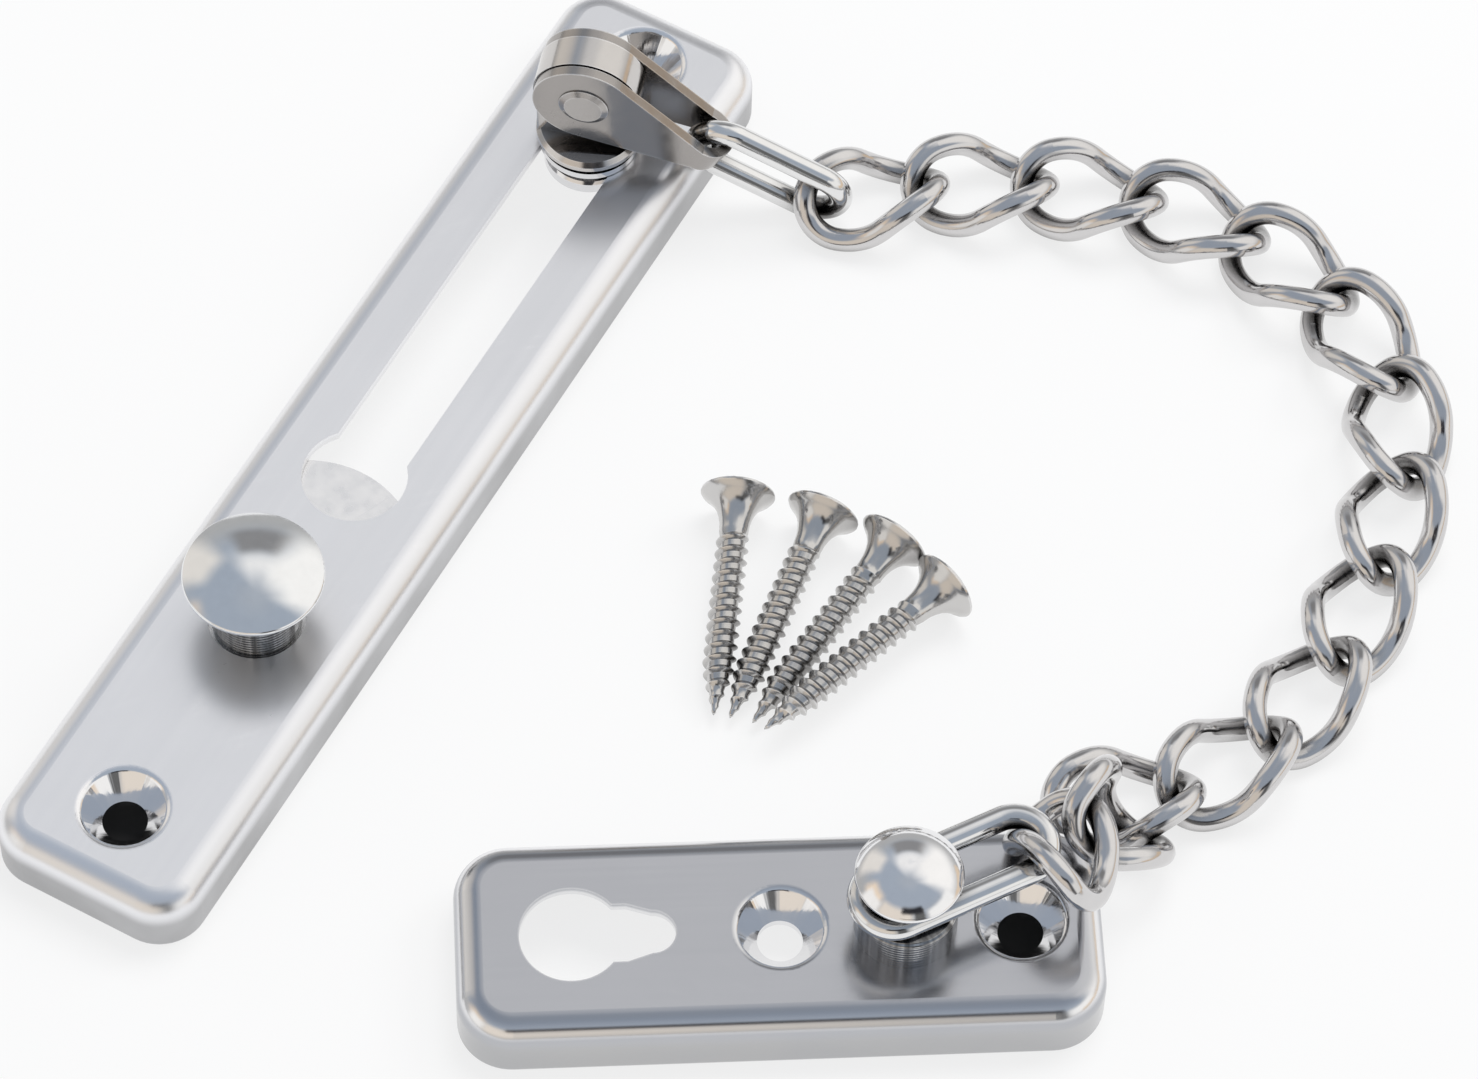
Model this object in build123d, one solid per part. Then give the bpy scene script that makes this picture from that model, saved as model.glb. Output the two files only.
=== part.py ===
"""Door chain guard: a slotted track plate, a swivelling slider, a twisted-link chain and a frame plate.

Frame of the model: millimetres, +Z away from the door. The origin is the centre of the track plate's
back face, and +Y runs along its slot towards the locked end. The chain lies in a loose loop on the
surface that both plates lie on, and the four wood screws lie inside the loop.
"""

from build123d import *

import math
import os

# ---------------------------------------------------------------- driving dimensions

SHEET = 1.2                     # stainless sheet that both plates are pressed from
PLATE_HEIGHT = 7.5              # depth of each pressed pan
EDGE_ROUND = 3.0                # rolled edge round the top face

TRACK_LENGTH = 133.0
TRACK_WIDTH = 25.0
TRACK_CORNER = 5.4

FRAME_LENGTH = 70.2
FRAME_WIDTH = 24.4
FRAME_CORNER = 6.0
FRAME_X = 69.3                  # where the frame plate lies beside the track plate
FRAME_Y = -34.3
FRAME_TURN = 31.8

SCREW_HOLE = 2.5                # radius of every screw hole
SCREW_SINK = 4.9                # radius of the pressed countersinks at the face
SINK_DEPTH = 3.1
SINK_LIP = 1.0                  # radius of the soft lip between the seat and the face

TRACK_HOLE_LOW = -56.5
TRACK_HOLE_HIGH = 58.4
ENTRY_Y = -7.3                  # round hole that lets the slider's head in
ENTRY_RADIUS = 6.0
SLOT_HALF = 4.5
WASHER_RADIUS = 5.8
SHOULDER = 0.5                  # raised step under the slider's flange
KNOB_Y = -28.5
KNOB_HOLE = 5.5

SLIDER_Y = 46.0                 # the slider rests at the locked end of the slot
NECK_RADIUS = 3.2
HEAD_RADIUS = 5.3
HEAD_TOP = 5.9
HEAD_THICK = 2.0
FLANGE_RADIUS = 6.2
FLANGE_BOTTOM = 9.1
FLANGE_TOP = 10.7
PIN_Z = 18.4                    # height of the pin that carries the strap
KNUCKLE_HALF = 2.0
PIN_RADIUS = 1.6

STRAP_SHEET = 1.2
STRAP_GAP = 0.12                # clearance on each side of the knuckle
EAR_RADIUS = 6.0
STRAP_REACH = 18.2              # pin to the outside of the fold
STRAP_TAIL = 1.7                # half the strap's height at the fold

LONG_WIRE = 1.4                 # wire radius of the slider's long link
LONG_WIDTH = 10.0
LONG_START = 13.1               # pin to the outside of the end held in the strap's fold
LONG_END = 34.4                 # pin to the outside of the end that rests on the surface
LONG_ROLL = 5.3                 # turn of the long link about its own length
SLOPE = 27.1                    # strap and long link point down by this angle
HEADING = 17.4                  # and this way in plan, from +X

LINK_WIRE = 1.35
LINK_TIP = 7.95                 # centre of the link to the wire's centre line at its tip
LINK_SIDE = 5.0                 # and at its side
LINK_TWIST = 48.0               # tilt of each end, the two ends tilt opposite ways
LINK_LEAN = 45.0                # slope of the side strands
LINK_GAP = 0.4                  # slack between the wires of two hooked links
PITCH = 2 * (LINK_TIP - LINK_WIRE - LINK_GAP / 2)

FIRST_HOOK = (26.35, 53.23, 3.74)  # where the first chain link hangs in the slider's long link

# headings of the links that lie flat, from +X, as the chain curls round the screws
FLAT_HEADINGS = [42.6, 30.0, 19.8, 4.9, -11.1, -32.7, -57.7, -77.7, -83.6, -97.7, -116.8, -141.8]

# the last two links climb from the surface to the long link on the stud: centre, heading, rise, roll
CLIMBING = [
    ((94.76, -4.87, 8.34), 221.7, 57.6, -4.5),
    ((92.47, -13.49, 13.28), 305.0, 26.9, -12.7),
]

STUD_WIRE = 1.4
STUD_LINK_LENGTH = 24.8
STUD_LINK_WIDTH = 10.0
STUD_LINK_Z = 14.2
STUD_LINK_TURN = 55.6
STUD_LINK_SHIFT = (5.68, 0.12)  # the stud's axis to the middle of the long link, along and across it
STUD_AT = 13.6                  # along the frame plate
STUD_HOLE = 2.0
FRAME_HOLES = (0.1, 26.2)
KEY_AT = -22.5
KEY_RADIUS = 5.65
KEY_HALF = 3.5                  # the keyhole's neck starts this wide each way
KEY_TAPER = -16.5               # and narrows from here
KEY_END = -13.8
KEY_TIP = 2.6


def write(shape, name):
    """Export one node."""
    export_step(shape, "parts/" + name + ".step")


# ---------------------------------------------------------------- pressed plates

def pan(length, width, corner):
    """A pressed pan: flat face, rolled edge, straight skirt, open at the back."""
    outer = extrude(RectangleRounded(length, width, corner), PLATE_HEIGHT)
    outer = fillet(outer.faces().sort_by(Axis.Z)[-1].edges(), EDGE_ROUND)
    inner = extrude(
        RectangleRounded(length - 2 * SHEET, width - 2 * SHEET, corner - SHEET), PLATE_HEIGHT - SHEET
    )
    inner = fillet(inner.faces().sort_by(Axis.Z)[-1].edges(), EDGE_ROUND - SHEET)
    return outer - inner


def countersink(at):
    """A screw seat pressed down from the sheet: returns the metal to add and the hole to cut."""
    bottom = PLATE_HEIGHT - SINK_DEPTH
    under = PLATE_HEIGHT - SHEET
    outside = Polyline(
        (0, bottom - 0.9), (SCREW_HOLE + 0.9, bottom - 0.9), (SCREW_SINK + 0.9, under), (0, under), close=True
    )
    slope = math.atan2(SINK_DEPTH, SCREW_SINK - SCREW_HOLE)
    reach = SINK_LIP * math.tan(slope / 2)
    lip_start = (SCREW_SINK - reach * math.cos(slope), PLATE_HEIGHT - reach * math.sin(slope))
    lip_end = (SCREW_SINK + reach, PLATE_HEIGHT)
    lip_middle = (
        SCREW_SINK + reach - SINK_LIP * math.sin(slope / 2),
        PLATE_HEIGHT - SINK_LIP * (1 - math.cos(slope / 2))
    )
    lower = Polyline((0, bottom - 2), (SCREW_HOLE, bottom - 2), (SCREW_HOLE, bottom), lip_start)
    lip = ThreePointArc(lip_start, lip_middle, lip_end)
    upper = Polyline(lip_end, (SCREW_SINK + reach, PLATE_HEIGHT + 1), (0, PLATE_HEIGHT + 1), (0, bottom - 2))
    metal = revolve(Plane.XZ * make_face(outside), Axis.Z)
    cutter = revolve(Plane.XZ * make_face(Wire([*lower.edges(), *lip.edges(), *upper.edges()])), Axis.Z)
    return Pos(at, 0, 0) * metal, Pos(at, 0, 0) * cutter


def drilled(plate, positions):
    """Press a countersunk screw seat into the plate at each position along it."""
    for at in positions:
        metal, cutter = countersink(at)
        plate = plate + metal - cutter
    return plate


def through(shape):
    """A prism of a plan outline that cuts right through the face of a plate."""
    return Pos(0, 0, PLATE_HEIGHT - 2 * SHEET) * extrude(shape, 3 * SHEET)


def track_plate():
    """The long plate: entry hole, slot, knob hole and two screw seats."""
    plate = drilled(pan(TRACK_LENGTH, TRACK_WIDTH, TRACK_CORNER), (TRACK_HOLE_LOW, TRACK_HOLE_HIGH))
    slot_end = SLIDER_Y + (SLOT_HALF - NECK_RADIUS) - 0.1
    slot_length = slot_end - ENTRY_Y
    slot = Pos(ENTRY_Y + slot_length / 2, 0) * SlotCenterToCenter(slot_length, 2 * SLOT_HALF)
    plate -= through(slot)
    plate -= through(Pos(ENTRY_Y, 0) * Circle(ENTRY_RADIUS))
    plate -= through(Pos(KNOB_Y, 0) * Circle(KNOB_HOLE))
    return Rot(0, 0, 90) * plate


def frame_plate():
    """The short plate: keyhole that parks the slider, two screw seats and the stud's hole."""
    plate = drilled(pan(FRAME_LENGTH, FRAME_WIDTH, FRAME_CORNER), FRAME_HOLES)
    neck = make_face(
        Polyline(
            (KEY_AT, KEY_HALF), (KEY_TAPER, KEY_HALF), (KEY_END, KEY_TIP), (KEY_END, -KEY_TIP),
            (KEY_TAPER, -KEY_HALF), (KEY_AT, -KEY_HALF), close=True
        )
    )
    keyhole = neck + Pos(KEY_END, 0) * Circle(KEY_TIP) + Pos(KEY_AT, 0) * Circle(KEY_RADIUS)
    plate -= through(keyhole)
    plate -= through(Pos(STUD_AT, 0) * Circle(STUD_HOLE))
    return plate


# ---------------------------------------------------------------- latch under the track plate

LEAF_SHEET = 0.7
LEAF_TOP = PLATE_HEIGHT - SHEET - 0.05
LEAF_ROOT = -49.0               # the leaf bends here, where it is spot welded
LEAF_HALF = 6.5
TONGUE_TIP = -5.9
NOSE_RADIUS = 12.5


def latch_leaf():
    """Spring strip under the plate; its rounded tongue fills part of the entry hole."""
    outline = make_face(
        Polyline(
            (-LEAF_HALF, LEAF_ROOT), (LEAF_HALF, LEAF_ROOT), (LEAF_HALF, TONGUE_TIP),
            (-LEAF_HALF, TONGUE_TIP), close=True
        )
    )
    nose = Pos(0, TONGUE_TIP - NOSE_RADIUS) * Circle(NOSE_RADIUS)
    behind = Pos(0, LEAF_ROOT / 2 + TONGUE_TIP / 2 - 5.0) * Rectangle(4 * LEAF_HALF, TONGUE_TIP - LEAF_ROOT)
    leaf = extrude(outline & (nose + behind), LEAF_SHEET)
    leaf -= Pos(0, KNOB_Y, 0) * extrude(Circle(2.1), LEAF_SHEET)
    return Pos(0, 0, LEAF_TOP - LEAF_SHEET) * leaf


def turned(points):
    """Revolve a half profile, given as (radius, height) points, about Z."""
    return revolve(Plane.XZ * make_face(Polyline(*points, close=True)), Axis.Z)


KNOB_CAP = 7.9
KNOB_NECK = 5.0
KNOB_RIM = 16.4


def press_knob():
    """Domed push knob with a thick neck that passes through the plate on to the leaf."""
    dome = ThreePointArc((0, KNOB_RIM + 2.4), (KNOB_CAP * 0.55, KNOB_RIM + 1.75), (KNOB_CAP - 0.15, KNOB_RIM + 0.25))
    edge = ThreePointArc(
        (KNOB_CAP - 0.15, KNOB_RIM + 0.25), (KNOB_CAP, KNOB_RIM - 0.15), (KNOB_CAP - 0.3, KNOB_RIM - 0.5)
    )
    rest = Polyline(
        (KNOB_CAP - 0.3, KNOB_RIM - 0.5), (KNOB_NECK + 0.9, KNOB_RIM - 2.4), (KNOB_NECK, KNOB_RIM - 5.0),
        (KNOB_NECK, LEAF_TOP + 0.02), (2.0, LEAF_TOP + 0.02), (2.0, LEAF_TOP - LEAF_SHEET - 0.02),
        (0, LEAF_TOP - LEAF_SHEET - 0.02)
    )
    axis_line = Line((0, LEAF_TOP - LEAF_SHEET - 0.02), (0, KNOB_RIM + 2.4))
    face = make_face(Wire([*dome.edges(), *edge.edges(), *rest.edges(), *axis_line.edges()]))
    return Pos(0, KNOB_Y, 0) * revolve(Plane.XZ * face, Axis.Z)


def knob_rivet():
    """Flat head closed under the leaf, which holds the knob on it."""
    top = LEAF_TOP - LEAF_SHEET - 0.02
    head = turned([(0, top - 0.6), (2.9, top - 0.6), (3.2, top - 0.3), (3.2, top), (0, top)])
    return Pos(0, KNOB_Y, 0) * head


# ---------------------------------------------------------------- slider

def slider_head():
    """Round head that runs under the plate, closed on to the stud's lower end."""
    bottom = HEAD_TOP - HEAD_THICK
    ring = turned([
        (1.9, bottom), (HEAD_RADIUS - 0.3, bottom), (HEAD_RADIUS, bottom + 0.3), (HEAD_RADIUS, HEAD_TOP - 0.3),
        (HEAD_RADIUS - 0.3, HEAD_TOP), (1.9, HEAD_TOP)
    ])
    return Pos(0, SLIDER_Y, 0) * ring


def slider_washer():
    """Loose washer between the plate and the stud's shoulder."""
    low = PLATE_HEIGHT + 0.1
    high = FLANGE_BOTTOM - SHOULDER - 0.1
    ring = turned([
        (NECK_RADIUS + 0.1, low), (WASHER_RADIUS, low), (WASHER_RADIUS, high), (NECK_RADIUS + 0.1, high)
    ])
    return Pos(0, SLIDER_Y, 0) * ring


def slider_stud():
    """Turned stud: neck, shoulder, round flange and a flat-sided knuckle with the pin's hole."""
    body = turned([
        (0, HEAD_TOP - HEAD_THICK - 0.3), (1.9, HEAD_TOP - HEAD_THICK - 0.3), (1.9, HEAD_TOP),
        (NECK_RADIUS, HEAD_TOP), (NECK_RADIUS, FLANGE_BOTTOM - SHOULDER), (4.4, FLANGE_BOTTOM - SHOULDER),
        (4.4, FLANGE_BOTTOM), (FLANGE_RADIUS - 0.5, FLANGE_BOTTOM), (FLANGE_RADIUS, FLANGE_BOTTOM + 0.5),
        (FLANGE_RADIUS, FLANGE_TOP - 0.5), (FLANGE_RADIUS - 0.5, FLANGE_TOP), (0, FLANGE_TOP)
    ])
    drum = Pos(0, PIN_Z) * Circle(FLANGE_RADIUS)
    web = Pos(0, (PIN_Z + FLANGE_TOP) / 2 - 0.2) * Rectangle(2 * FLANGE_RADIUS - 0.8, PIN_Z - FLANGE_TOP + 0.4)
    knuckle = extrude(Plane.XZ * (drum + web), KNUCKLE_HALF, both=True)
    body += knuckle
    body -= extrude(Plane.XZ * (Pos(0, PIN_Z) * Circle(PIN_RADIUS + 0.05)), 2 * KNUCKLE_HALF, both=True)
    return Pos(0, SLIDER_Y, 0) * Rot(0, 0, HEADING) * body


def at_pin(shape):
    """Place a shape drawn with the pin as origin, +X along the strap and +Z up, on the slider."""
    return Pos(0, SLIDER_Y, PIN_Z) * Rot(0, 0, HEADING) * Rot(0, SLOPE, 0) * shape


def swivel_strap():
    """One strip folded through the long link, with a round ear on each side of the knuckle."""
    inner = KNUCKLE_HALF + STRAP_GAP
    outer = inner + STRAP_SHEET
    bend_at = STRAP_REACH - outer
    ear = Circle(EAR_RADIUS)
    lean = math.degrees(math.asin((EAR_RADIUS - STRAP_TAIL) / bend_at))
    touch_x = EAR_RADIUS * math.sin(math.radians(lean))
    touch_z = EAR_RADIUS * math.cos(math.radians(lean))
    taper = make_face(
        Polyline(
            (touch_x, touch_z), (bend_at, STRAP_TAIL), (bend_at, -STRAP_TAIL), (touch_x, -touch_z), close=True
        )
    )
    side = ear + taper
    ears = []
    for sign in (-1, 1):
        plate = extrude(Plane.XZ * side, STRAP_SHEET / 2, both=True)
        ears.append(Pos(0, sign * (inner + STRAP_SHEET / 2), 0) * plate)
    bend = Cylinder(outer, 2 * STRAP_TAIL) - Cylinder(inner, 2 * STRAP_TAIL)
    bend = bend & (Pos(outer / 2, 0, 0) * Box(outer, 2 * outer, 2 * STRAP_TAIL))
    strap = ears[0] + ears[1] + Pos(bend_at, 0, 0) * bend
    strap -= extrude(Plane.XZ * Circle(PIN_RADIUS + 0.02), 2 * outer, both=True)
    return at_pin(strap)


def strap_pin():
    """Rivet through both ears and the knuckle, with a low head at each end."""
    reach = KNUCKLE_HALF + STRAP_GAP + STRAP_SHEET
    profile = [
        (0, -reach - 0.5), (2.2, -reach - 0.5), (2.9, -reach - 0.15), (2.9, -reach), (PIN_RADIUS, -reach),
        (PIN_RADIUS, reach), (2.9, reach), (2.9, reach + 0.15), (2.2, reach + 0.5), (0, reach + 0.5)
    ]
    return at_pin(Rot(90, 0, 0) * turned(profile))


# ---------------------------------------------------------------- wire links

def swept(path_edges, radius):
    """Round wire along a path of tangent lines and arcs."""
    path = Wire(path_edges)
    section = Plane(origin=path.position_at(0), z_dir=path.tangent_at(0)) * Circle(radius)
    return sweep(section, path=path)


def flat_link(length, width, wire):
    """A long flat oval link in the XY plane, centred on the origin."""
    bend = width / 2 - wire
    straight = length / 2 - width / 2
    half = [
        Line((-straight, bend, 0), (straight, bend, 0)).edge(),
        ThreePointArc((straight, bend, 0), (straight + bend, 0, 0), (straight, -bend, 0)).edge(),
    ]
    one = swept(half, wire)
    return one + Rot(0, 0, 180) * one


def biarc(p0, t0, p1, t1):
    """Two arcs from p0 to p1 that share a tangent where they meet; t0 and t1 point forwards."""
    across = p1 - p0
    both = t0 + t1
    k = 2 * (1 - t0.dot(t1))
    along = across.dot(both)
    reach = (math.sqrt(along * along + k * across.dot(across)) - along) / k
    middle = (p0 + t0 * reach + p1 - t1 * reach) * 0.5
    return [Edge.make_tangent_arc(p0, t0, middle), Edge.make_tangent_arc(p1, t1 * -1, middle)]


def twisted_link():
    """One curb link: an oval of wire whose ends are twisted opposite ways, so the chain lies flat."""
    twist = math.radians(LINK_TWIST)
    lean = math.radians(LINK_LEAN)
    tip = Vector(LINK_TIP, 0, 0)
    side = Vector(0, LINK_SIDE, 0)
    quarter = biarc(
        tip, Vector(0, math.cos(twist), -math.sin(twist)), side, Vector(-math.cos(lean), 0, math.sin(lean))
    )
    half = quarter + [edge.rotate(Axis.Y, 180) for edge in quarter]
    one = swept(half, LINK_WIRE)
    return one + one.rotate(Axis.X, 180)


def flat_place(start, heading):
    """Where a flat link goes when its near hooking point is at start, and where its far one is."""
    frame = Location(start) * Rot(0, 0, heading)
    return frame * Pos(PITCH / 2, 0, 0), (frame * Pos(PITCH, 0, 0)).position


def slider_link():
    """Long link that the strap folds through."""
    link = Rot(90 + LONG_ROLL, 0, 0) * flat_link(LONG_END - LONG_START, LONG_WIDTH, LONG_WIRE)
    return at_pin(Pos((LONG_START + LONG_END) / 2, 0, 0) * link)


# ---------------------------------------------------------------- frame side

STUD_BASE_TOP = 12.4
STUD_NECK = 1.9
STUD_CAP = 5.9
STUD_RIM = 18.4


def frame_stud():
    """Spool riveted to the frame plate: wide base, thin neck for the long link, domed cap."""
    dome = ThreePointArc((0, STUD_RIM + 2.6), (3.6, STUD_RIM + 1.9), (STUD_CAP - 0.2, STUD_RIM + 0.3))
    edge = ThreePointArc(
        (STUD_CAP - 0.2, STUD_RIM + 0.3), (STUD_CAP, STUD_RIM - 0.2), (STUD_CAP - 0.3, STUD_RIM - 0.6)
    )
    under = PLATE_HEIGHT - SHEET
    rest = Polyline(
        (STUD_CAP - 0.3, STUD_RIM - 0.6), (STUD_NECK, STUD_RIM - 2.2), (STUD_NECK, STUD_BASE_TOP),
        (5.2, STUD_BASE_TOP), (5.6, STUD_BASE_TOP - 0.4), (5.6, PLATE_HEIGHT), (1.95, PLATE_HEIGHT),
        (1.95, under), (3.4, under), (3.0, under - 0.8), (0, under - 0.8)
    )
    axis_line = Line((0, under - 0.8), (0, STUD_RIM + 2.6))
    face = make_face(Wire([*dome.edges(), *edge.edges(), *rest.edges(), *axis_line.edges()]))
    return Pos(STUD_AT, 0, 0) * revolve(Plane.XZ * face, Axis.Z)


def on_frame(shape):
    """Place a shape drawn on the frame plate's own axes where the frame plate lies."""
    return Pos(FRAME_X, FRAME_Y, 0) * Rot(0, 0, FRAME_TURN) * shape


# ---------------------------------------------------------------- screws

SCREW_LENGTH = 31.0
SCREW_POINT = 5.0
SCREW_HEAD = 4.25
SHANK = 1.95
# head and pointing direction of each screw as it lies
SCREW_PLACES = [(36.5, 15.5, -67.0), (47.0, 17.5, -80.0), (54.8, 21.6, -93.0), (66.0, 16.5, -107.0)]


def wood_screw():
    """Countersunk wood screw along +X from its head at the origin, plain shank for the thread's core."""
    points = [
        (0, 0), (SCREW_HEAD, 0), (SCREW_HEAD, 0.35), (SHANK, 2.7), (SHANK, SCREW_LENGTH - SCREW_POINT),
        (0.3, SCREW_LENGTH), (0, SCREW_LENGTH)
    ]
    return Rot(0, 90, 0) * turned(points)


def wood_screws():
    """The four loose screws, each resting on its head's rim and the end of its shank."""
    screws = []
    drop = math.degrees(math.asin((SCREW_HEAD - SHANK) / (SCREW_LENGTH - SCREW_POINT)))
    for x, y, heading in SCREW_PLACES:
        screws.append(Pos(x, y, SCREW_HEAD) * Rot(0, 0, heading) * Rot(0, drop, 0) * wood_screw())
    return Compound(children=screws)


# ---------------------------------------------------------------- build

def main():
    """Make every node and write it."""
    os.makedirs("parts", exist_ok=True)
    write(track_plate(), "track_plate")
    write(latch_leaf(), "latch_leaf")
    write(press_knob(), "press_knob")
    write(knob_rivet(), "knob_rivet")
    write(slider_head(), "slider_head")
    write(slider_washer(), "slider_washer")
    write(slider_stud(), "slider_stud")
    write(swivel_strap(), "swivel_strap")
    write(strap_pin(), "strap_pin")
    write(slider_link(), "slider_link")

    link = twisted_link()
    hook = Vector(*FIRST_HOOK)
    for number, heading in enumerate(FLAT_HEADINGS, start=1):
        place, hook = flat_place(hook, heading)
        write(place * link, "chain_link_%02d" % number)
    for number, (centre, heading, rise, roll) in enumerate(CLIMBING, start=len(FLAT_HEADINGS) + 1):
        place = Location(centre) * Rot(0, 0, heading) * Rot(0, -rise, 0) * Rot(roll, 0, 0)
        write(place * link, "chain_link_%02d" % number)

    write(on_frame(frame_plate()), "frame_plate")
    write(on_frame(frame_stud()), "frame_stud")
    stud_link = flat_link(STUD_LINK_LENGTH, STUD_LINK_WIDTH, STUD_WIRE)
    stud_axis = on_frame(Pos(STUD_AT, 0, STUD_LINK_Z)).position
    write(Location(stud_axis) * Rot(0, 0, STUD_LINK_TURN) * Pos(*STUD_LINK_SHIFT) * stud_link, "stud_link")
    write(wood_screws(), "wood_screws")


main()
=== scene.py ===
# %% [markdown]
# # A door chain guard in satin and polished steel
#
# The guard has a long slotted plate for the door, a short plate for the door frame, a swivelling
# slider, a twisted-link chain and four wood screws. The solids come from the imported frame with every
# joint in place, so this file mostly dresses them: it gives each steel part its finish, and it makes
# the screws anew with real threads and cross recesses. Everything is in metres, and MM turns
# millimetres into metres.

import bmesh
import bpy
import math
from mathutils import Matrix, Vector


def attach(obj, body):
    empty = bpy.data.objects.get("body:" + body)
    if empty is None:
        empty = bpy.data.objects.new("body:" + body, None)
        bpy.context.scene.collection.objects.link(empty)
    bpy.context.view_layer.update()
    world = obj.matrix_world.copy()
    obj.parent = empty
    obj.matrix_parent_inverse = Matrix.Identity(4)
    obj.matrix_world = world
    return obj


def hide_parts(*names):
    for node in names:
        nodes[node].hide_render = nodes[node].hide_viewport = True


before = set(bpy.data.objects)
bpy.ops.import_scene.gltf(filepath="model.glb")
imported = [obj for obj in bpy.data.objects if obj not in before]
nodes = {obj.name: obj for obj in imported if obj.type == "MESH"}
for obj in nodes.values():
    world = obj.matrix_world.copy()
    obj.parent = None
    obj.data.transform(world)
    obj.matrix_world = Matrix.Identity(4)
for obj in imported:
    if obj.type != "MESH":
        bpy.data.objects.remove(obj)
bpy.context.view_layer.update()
MM = 0.001

# %% [markdown]
# ## Camera
#
# A product like this is shot from well above with a long lens, so that both plates keep nearly
# parallel sides. It could be aimed with a Track To constraint, but the tilt of a hand-held shot needs
# a roll as well. So the camera circles the middle of the layout: a turn about the vertical, a rise
# above the surface, a small roll and a distance say all there is to say about it. The Standard view
# keeps the tones of the steel as they are set.

# %% Camera
TURN = math.radians(27.3)
RISE = math.radians(58.06)
ROLL = math.radians(1.99)
DISTANCE = 0.7657
LOOK_AT = Vector((0.03945, 0.0108, 0.0))
SENSOR_WIDTH = 36.0
LENS = 165.04

back = Vector((math.sin(TURN) * math.cos(RISE), -math.cos(TURN) * math.cos(RISE), math.sin(RISE)))
right = Vector((math.cos(TURN), math.sin(TURN), 0.0))
up = back.cross(right)
camera_data = bpy.data.cameras.new("camera")
camera_data.sensor_width = SENSOR_WIDTH
camera_data.lens = LENS
camera = bpy.data.objects.new("camera", camera_data)
axes = Matrix((right, up, back)).transposed()
camera.matrix_world = (Matrix.Rotation(ROLL, 3, back) @ axes).to_4x4()
camera.location = LOOK_AT + back * DISTANCE
bpy.context.scene.collection.objects.link(camera)
bpy.context.scene.camera = camera
bpy.context.scene.view_settings.view_transform = "Standard"
print("camera at", [round(c, 4) for c in camera.location])

# %% [markdown]
# ## Where the seats and the turned pieces are
#
# Both plates are pressed, and each screw hole sits in a round seat that was coined and polished. The
# knob, the slider and the stud are turned about upright axes. The finishes have to know those places.
# They could be searched for in the meshes, but a maker knows them from the drawing. The frame plate
# lies turned on the surface, so a small function carries a point from the plate's own length to where
# it lies.

# %% Seats
FRAME_AT = Vector((69.3, -34.3, 0.0)) * MM
FRAME_TURN = math.radians(31.8)


def on_frame_plate(along, across=0.0, height=0.0):
    """A point given in millimetres along the frame plate, in metres where the plate lies."""
    return FRAME_AT + Matrix.Rotation(FRAME_TURN, 3, "Z") @ (Vector((along, across, height)) * MM)


TRACK_SEATS = [Vector((0.0, -56.5, 0.0)) * MM, Vector((0.0, 58.4, 0.0)) * MM]
FRAME_SEATS = [on_frame_plate(0.1), on_frame_plate(26.2)]
DARK_HOLES = {"track_plate": TRACK_SEATS[0], "frame_plate": FRAME_SEATS[1]}
KNOB_AXIS = Vector((0.0, -28.5, 0.0)) * MM
SLIDER_AXIS = Vector((0.0, 46.0, 0.0)) * MM
STUD_AXIS = on_frame_plate(13.6)
print("seats at", [tuple(round(c / MM, 1) for c in seat) for seat in TRACK_SEATS + FRAME_SEATS])

# %% [markdown]
# ## Node helpers
#
# A procedural material is a small graph, and it could be drawn by hand in the shader editor. Written
# out it is easier to repeat and to change. These helpers keep each graph short: one makes a node and
# sets its constants, one joins two sockets, the next ones do sums, map a range of values on to another,
# mix colours and give the point on the object, and the last two make a node group and place it.

# %% Node helpers
def make(tree, kind, **values):
    """One node of that kind; values set its properties, or its inputs where the name is an input."""
    node = tree.nodes.new(kind)
    for name, value in values.items():
        if hasattr(node, name):
            setattr(node, name, value)
        else:
            node.inputs[name.replace("_", " ")].default_value = value
    return node


def join(tree, out_socket, in_socket):
    """A link between two sockets."""
    tree.links.new(out_socket, in_socket)


def sums(tree, operation, first, second):
    """A Math node; each side is a socket or a number."""
    node = make(tree, "ShaderNodeMath", operation=operation)
    for side, value in enumerate((first, second)):
        if isinstance(value, (int, float)):
            node.inputs[side].default_value = value
        else:
            join(tree, value, node.inputs[side])
    return node.outputs[0]


def spread(tree, source, low, high, to_low=0.0, to_high=1.0, soft=False):
    """Map a range of values on to another; soft gives it rounded ends."""
    node = make(tree, "ShaderNodeMapRange", interpolation_type="SMOOTHSTEP" if soft else "LINEAR")
    for label, value in (("From Min", low), ("From Max", high), ("To Min", to_low), ("To Max", to_high)):
        if isinstance(value, (int, float)):
            node.inputs[label].default_value = value
        else:
            join(tree, value, node.inputs[label])
    join(tree, source, node.inputs["Value"])
    return node.outputs[0]


def blend_color(tree, share, first, second):
    """A colour mix; each colour is a socket or three numbers."""
    node = make(tree, "ShaderNodeMix", data_type="RGBA")
    join(tree, share, node.inputs[0])
    for slot, value in ((6, first), (7, second)):
        if isinstance(value, tuple):
            node.inputs[slot].default_value = (*value, 1.0)
        else:
            join(tree, value, node.inputs[slot])
    return node.outputs[2]


def object_point(tree, angle=0.0):
    """The point on the object, turned about the vertical so that a grain can run along Y."""
    place = make(tree, "ShaderNodeTexCoord").outputs["Object"]
    if not angle:
        return place
    turned = make(tree, "ShaderNodeVectorRotate", rotation_type="Z_AXIS", Angle=-angle)
    join(tree, place, turned.inputs["Vector"])
    return turned.outputs[0]


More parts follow.
